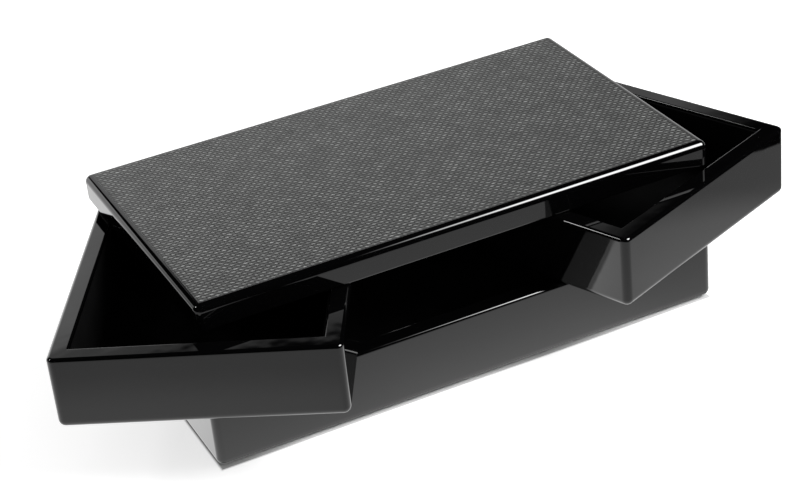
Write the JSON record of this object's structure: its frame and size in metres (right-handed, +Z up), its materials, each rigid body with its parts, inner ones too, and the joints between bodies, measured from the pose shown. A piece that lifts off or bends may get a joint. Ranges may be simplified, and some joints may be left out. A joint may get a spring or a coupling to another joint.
{
  "type": "keepsake box",
  "caption": "Lacquered keepsake box with an open base compartment, a fixed lid and trays that swing out on pins at the back corners.",
  "frame": {"origin": "middle of the face that the box rests on, under the centre of the base", "axes": "+X along the length to the right tray, +Y to the back where the pivots are, +Z up"},
  "size_m": [0.4299, 0.2211, 0.0984],
  "materials": {
    "lacquer": "black high-gloss lacquer on board",
    "woven_panel": "plain weave of flat strands with a satin sheen",
    "velvet": "black velvet on card",
    "felt": "black felt",
    "steel": "ground",
    "brass": "turned",
    "nylon": "matte"
  },
  "bodies": {
    "case": {"base_back_lining": "velvet", "base_back_wall": "lacquer", "base_floor": "lacquer", "base_floor_lining": "velvet", "base_front_lining": "velvet", "base_front_wall": "lacquer", "base_left_lining": "velvet", "base_left_wall": "lacquer", "base_right_lining": "velvet", "base_right_wall": "lacquer", "base_underside_felt": "felt", "left_pivot_pin": "steel", "lid_board": "lacquer", "lid_top_panel": "woven_panel", "lower_washers": "nylon", "right_pivot_pin": "steel", "upper_washers": "nylon"},
    "left_tray": {"left_tray_back_lining": "velvet", "left_tray_back_wall": "lacquer", "left_tray_floor": "lacquer", "left_tray_floor_lining": "velvet", "left_tray_front_lining": "velvet", "left_tray_front_wall": "lacquer", "left_tray_inner_lining": "velvet", "left_tray_inner_wall": "lacquer", "left_tray_outer_lining": "velvet", "left_tray_outer_wall": "lacquer", "left_tray_pivot_bush": "brass", "left_tray_underside_felt": "felt"},
    "right_tray": {"right_tray_back_lining": "velvet", "right_tray_back_wall": "lacquer", "right_tray_floor": "lacquer", "right_tray_floor_lining": "velvet", "right_tray_front_lining": "velvet", "right_tray_front_wall": "lacquer", "right_tray_inner_lining": "velvet", "right_tray_inner_wall": "lacquer", "right_tray_outer_lining": "velvet", "right_tray_outer_wall": "lacquer", "right_tray_pivot_bush": "brass", "right_tray_underside_felt": "felt"}
  },
  "joints": [
    {"name": "left_tray_swing", "type": "hinge", "parent": "case", "child": "left_tray", "pos_m": [-0.145, 0.068, 0.0628], "axis": [0, 0, -1], "range_deg": [-29, 61]},
    {"name": "right_tray_swing", "type": "hinge", "parent": "case", "child": "right_tray", "pos_m": [0.145, 0.068, 0.0628], "axis": [0, 0, 1], "range_deg": [-22.5, 67.5]}
  ]
}
